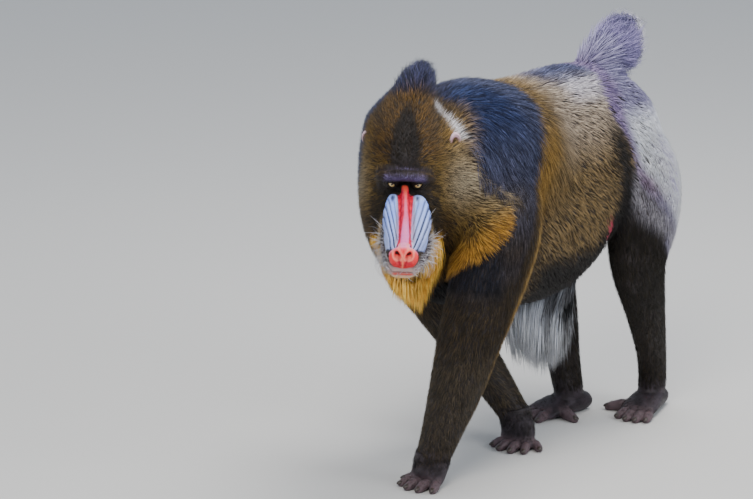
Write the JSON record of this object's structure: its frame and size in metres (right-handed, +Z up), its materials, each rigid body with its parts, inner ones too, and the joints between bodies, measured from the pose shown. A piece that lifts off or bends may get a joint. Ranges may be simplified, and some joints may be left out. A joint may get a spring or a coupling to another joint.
{
  "type": "mandrill",
  "caption": "Adult male mandrill walking, its ridged blue and red muzzle turned to its left, with crest, mane, beard, belly fringe and short upright tail.",
  "frame": {"origin": "on the floor, below the middle of the standing animal's bounding box", "axes": "+Z up, the body faces -Y, the animal's left side is +X"},
  "size_m": [0.3556, 0.8802, 0.7213],
  "materials": {
    "coat": "agouti fur",
    "mane": "long dark fur",
    "rump": "short fur over lilac skin",
    "beard": "long golden hair",
    "face": "bare ridged skin",
    "ear": "bare skin",
    "hand": "bare dark skin",
    "eye": "gloss"
  },
  "bodies": {
    "root": {"beard": "beard", "chest": "mane", "ear_l": "ear", "ear_r": "ear", "eye_l": "eye", "eye_r": "eye", "foot_l": "hand", "foot_r": "hand", "forearm_l": "coat", "forearm_r": "coat", "hand_l": "hand", "hand_r": "hand", "head": "coat", "hips": "rump", "jaw": "face", "mane": "mane", "muzzle": "face", "shank_l": "coat", "shank_r": "coat", "tail": "rump", "thigh_l": "coat", "thigh_r": "coat", "torso": "coat", "upper_arm_l": "coat", "upper_arm_r": "coat"}
  },
  "joints": []
}
